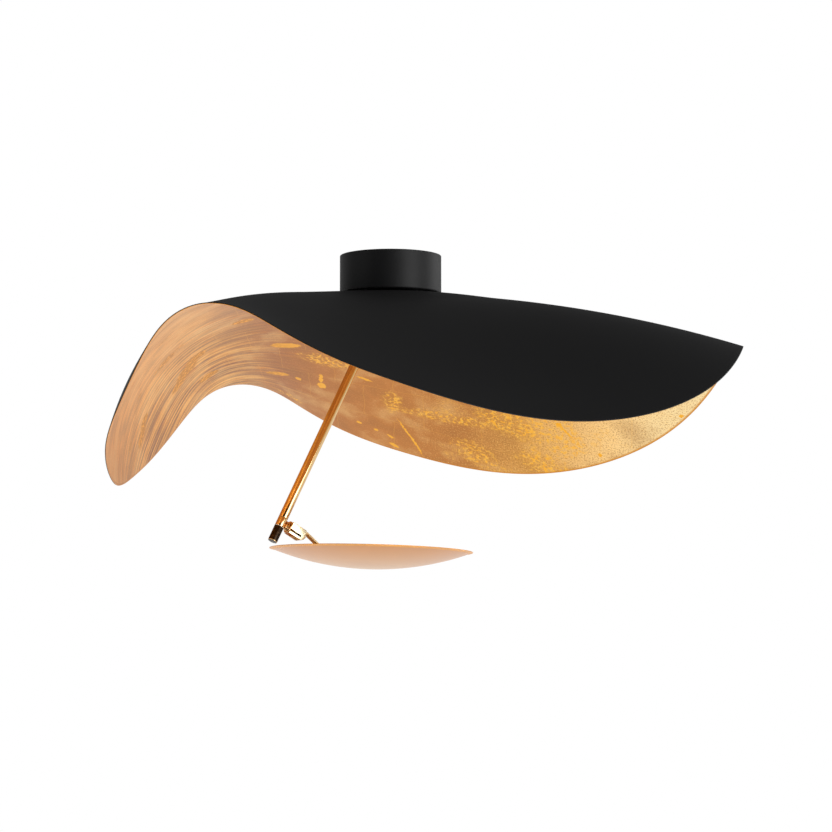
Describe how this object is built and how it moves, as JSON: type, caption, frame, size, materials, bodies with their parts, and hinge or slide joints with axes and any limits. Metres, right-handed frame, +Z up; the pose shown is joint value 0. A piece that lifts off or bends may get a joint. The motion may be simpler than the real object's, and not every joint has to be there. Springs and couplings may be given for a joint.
{
  "type": "ceiling light",
  "caption": "Ceiling light: a wavy metal sheet under a round cup, lit from below by a small dish on a slanting pivoted arm.",
  "frame": {"origin": "centre of the two ceiling holes, on the plane of the ceiling", "axes": "+Z up into the ceiling, +X to the raised nose of the sheet, +Y to the back, away from the arm's side"},
  "size_m": [0.7999, 0.9037, 0.4021],
  "materials": {
    "black_lacquer": "satin black lacquer on steel",
    "zinc_steel": "bright zinc plated steel",
    "leafed_sheet": "aluminium sheet, black lacquer above and metal leaf below",
    "polished_brass": "polished and lacquered brass",
    "bright_brass": "bright nickel plated brass",
    "dark_bronze": "dark patinated brass",
    "leafed_dish": "spun aluminium with satin metal leaf",
    "white_plate": "white painted aluminium",
    "driver_case": "white moulded plastic",
    "terminal_plastic": "natural nylon",
    "foam": "black foam tape",
    "lead_sleeve": "white sheathed lead",
    "board": "white masked circuit board",
    "chips": "yellow phosphor",
    "opal": "opal acrylic",
    "nylon": "natural nylon"
  },
  "bodies": {
    "root": {"ceiling_bracket": "zinc_steel", "earth_screw": "zinc_steel", "ceiling_cup": "black_lacquer", "cup_screws": "dark_bronze", "driver_pad": "foam", "led_driver": "driver_case", "terminal_block": "terminal_plastic", "terminal_screws": "zinc_steel", "nipple": "zinc_steel", "tooth_washer": "zinc_steel", "upper_nut": "zinc_steel", "driver_lead": "lead_sleeve", "top_plate": "black_lacquer", "bottom_plate": "polished_brass", "lower_nut": "polished_brass", "shade_sheet": "leafed_sheet", "hub_washer": "nylon", "retainer_washer": "zinc_steel", "retainer_nut": "zinc_steel"},
    "hub": {"swivel_hub": "polished_brass", "hub_cover": "polished_brass", "pivot_screw": "polished_brass", "pivot_nut": "polished_brass"},
    "arm": {"arm_tongue": "polished_brass", "arm_tube": "polished_brass", "end_plug": "polished_brass", "arm_lead": "lead_sleeve", "end_stub": "dark_bronze", "stub_washer": "nylon"},
    "swivel": {"swivel_sleeve": "polished_brass"},
    "disc": {"clamp_block": "bright_brass", "clamp_screw": "zinc_steel", "block_screw": "zinc_steel", "disc_bracket": "polished_brass", "bracket_screws": "zinc_steel", "disc_dish": "leafed_dish", "disc_plate": "white_plate", "plate_screws": "zinc_steel", "board_screws": "zinc_steel", "led_board": "board", "led_chips": "chips", "diffuser": "opal", "diffuser_bezel": "white_plate", "bezel_screws": "zinc_steel"}
  },
  "joints": [
    {"name": "arm_turn", "type": "hinge", "parent": "root", "child": "hub", "pos_m": [0, 0, -0.09804], "axis": [0, 0, 1], "range_deg": [-170, 170]},
    {"name": "arm_tilt", "type": "hinge", "parent": "hub", "child": "arm", "pos_m": [-0.02487, -0.01678, -0.09804], "axis": [0.5592, -0.829, 0], "range_deg": [-25, 20]},
    {"name": "disc_turn", "type": "hinge", "parent": "arm", "child": "swivel", "pos_m": [-0.13502, -0.09107, -0.34791], "axis": [-0.3892, -0.2625, -0.8829], "range_deg": [-30, 30]},
    {"name": "disc_tilt", "type": "hinge", "parent": "swivel", "child": "disc", "pos_m": [-0.13502, -0.09107, -0.34791], "axis": [0.732, 0.4937, -0.4695], "range_deg": [-25, 25]}
  ]
}
